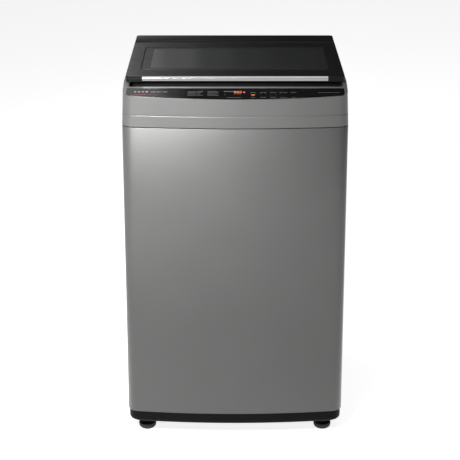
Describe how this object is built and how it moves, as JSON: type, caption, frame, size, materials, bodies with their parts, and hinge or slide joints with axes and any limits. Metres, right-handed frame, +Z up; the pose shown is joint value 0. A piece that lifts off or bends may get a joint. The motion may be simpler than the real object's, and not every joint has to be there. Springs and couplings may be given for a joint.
{
  "type": "top load washing machine",
  "caption": "Top load washer with bowed sheet cabinet, glazed hinged lid, sloping key panel, sprung tub, spinning basket and pulsator, belt drive and screw feet.",
  "frame": {"origin": "on the floor, under the centre of the machine's width and depth", "axes": "+Z up, +X to the right seen from the front, +Y from the front towards the back"},
  "size_m": [0.54, 0.562, 0.9182],
  "materials": {
    "graphite_paint": "metallic graphite powder paint on sheet steel, satin",
    "grey_moulding": "metallic grey moulded plastic, satin",
    "black_moulding": "fine-grained black moulded plastic",
    "gloss_black": "polished piano-black panel",
    "smoked_glass": "dark smoked toughened glass, polished",
    "chrome_trim": "bright plated trim",
    "galvanised": "plain zinc-coated sheet, matte",
    "stainless": "brushed stainless sheet",
    "steel": "bright zinc-plated steel",
    "white_plastic": "plain white moulded plastic",
    "grey_plastic": "plain grey moulded plastic",
    "rubber": "matt black rubber",
    "cast_alloy": "as-cast aluminium alloy",
    "board": "green circuit board"
  },
  "bodies": {
    "cabinet": {"cabinet_wrap": "graphite_paint", "back_panel": "galvanised", "base_frame": "black_moulding", "top_cover": "grey_moulding", "deck": "black_moulding", "rear_cover": "black_moulding", "control_panel": "gloss_black", "control_board": "board", "dispenser_housing": "grey_plastic", "inlet_valve": "white_plastic", "lid_switch": "black_moulding", "hinge_pin_left": "steel", "hinge_pin_right": "steel", "cord_gland": "rubber", "drain_pump": "white_plastic", "drain_outlet": "grey_plastic", "foot_rear_left": "rubber", "foot_rear_right": "rubber", "suspension_rod_front_left": "steel", "suspension_rod_front_right": "steel", "suspension_rod_rear_left": "steel", "suspension_rod_rear_right": "steel", "rear_screw_1": "steel", "rear_screw_2": "steel", "rear_screw_3": "steel", "rear_screw_4": "steel"},
    "foot_front_left": {"foot_front_left": "rubber"},
    "foot_front_right": {"foot_front_right": "rubber"},
    "tub": {"outer_tub": "grey_plastic", "tub_ring": "white_plastic", "tub_seal": "rubber", "drive_bracket": "galvanised", "gearcase": "cast_alloy", "motor": "cast_alloy", "drive_belt": "rubber", "sump_hose": "rubber", "spring_front_left": "steel", "spring_front_right": "steel", "spring_rear_left": "steel", "spring_rear_right": "steel"},
    "drive_pulley": {"drive_pulley": "cast_alloy"},
    "motor_pulley": {"motor_pulley": "cast_alloy"},
    "basket": {"basket": "stainless", "balance_ring": "grey_plastic", "basket_hub": "cast_alloy", "spin_shaft": "steel"},
    "lint_filter": {"lint_filter": "white_plastic"},
    "pulsator": {"pulsator": "grey_plastic", "wash_shaft": "steel", "pulsator_screw": "stainless"},
    "lid": {"lid_frame": "black_moulding", "lid_liner": "black_moulding", "lid_glass": "smoked_glass", "lid_handle": "chrome_trim"},
    "detergent_drawer": {"detergent_drawer": "grey_plastic"},
    "key_1": {"key_1": "gloss_black"},
    "key_2": {"key_2": "gloss_black"},
    "key_3": {"key_3": "gloss_black"},
    "key_4": {"key_4": "gloss_black"},
    "key_5": {"key_5": "gloss_black"}
  },
  "joints": [
    {"name": "lid_hinge", "type": "hinge", "parent": "cabinet", "child": "lid", "pos_m": [0, 0.1834, 0.9112], "axis": [-1, 0, 0], "range_deg": [0, 98]},
    {"name": "foot_front_left_screw", "type": "slide", "parent": "cabinet", "child": "foot_front_left", "axis": [0, 0, -1], "range_m": [0, 0.012]},
    {"name": "foot_front_right_screw", "type": "slide", "parent": "cabinet", "child": "foot_front_right", "axis": [0, 0, -1], "range_m": [0, 0.012]},
    {"name": "tub_bounce", "type": "slide", "parent": "cabinet", "child": "tub", "axis": [0, 0, 1], "range_m": [-0.015, 0.01], "stiffness_N_per_m": 12000, "springref_m": 0.01607, "deforming": ["spring_front_left", "spring_front_right", "spring_rear_left", "spring_rear_right", "sump_hose"]},
    {"name": "pulsator_spin", "type": "hinge", "parent": "basket", "child": "pulsator", "pos_m": [0, 0, 0.28], "axis": [0, 0, 1], "continuous": true},
    {"name": "basket_spin", "type": "hinge", "parent": "tub", "child": "basket", "pos_m": [0, 0, 0.25], "axis": [0, 0, 1], "continuous": true},
    {"name": "drive_pulley_spin", "type": "hinge", "parent": "tub", "child": "drive_pulley", "pos_m": [0, 0, 0.098], "axis": [0, 0, 1], "continuous": true},
    {"name": "motor_spin", "type": "hinge", "parent": "tub", "child": "motor_pulley", "pos_m": [0, 0.15, 0.098], "axis": [0, 0, 1], "continuous": true},
    {"name": "lint_filter_release", "type": "slide", "parent": "basket", "child": "lint_filter", "axis": [-1, 0, 0], "range_m": [0, 0.02]},
    {"name": "drawer_slide", "type": "slide", "parent": "cabinet", "child": "detergent_drawer", "axis": [0, -1, 0], "range_m": [0, 0.075]},
    {"name": "key_1_press", "type": "slide", "parent": "cabinet", "child": "key_1", "axis": [0, 0.2896, -0.9572], "range_m": [0, 0.001], "stiffness_N_per_m": 800, "springref_m": -0.0005},
    {"name": "key_2_press", "type": "slide", "parent": "cabinet", "child": "key_2", "axis": [0, 0.2896, -0.9572], "range_m": [0, 0.001], "stiffness_N_per_m": 800, "springref_m": -0.0005},
    {"name": "key_3_press", "type": "slide", "parent": "cabinet", "child": "key_3", "axis": [0, 0.2896, -0.9572], "range_m": [0, 0.001], "stiffness_N_per_m": 800, "springref_m": -0.0005},
    {"name": "key_4_press", "type": "slide", "parent": "cabinet", "child": "key_4", "axis": [0, 0.2896, -0.9572], "range_m": [0, 0.001], "stiffness_N_per_m": 800, "springref_m": -0.0005},
    {"name": "key_5_press", "type": "slide", "parent": "cabinet", "child": "key_5", "axis": [0, 0.2896, -0.9572], "range_m": [0, 0.001], "stiffness_N_per_m": 800, "springref_m": -0.0005}
  ],
  "couplings": [
    {"joint": "drive_pulley_spin", "follows": "pulsator_spin", "ratio": 4.5},
    {"joint": "motor_spin", "follows": "pulsator_spin", "ratio": 9.4655}
  ]
}
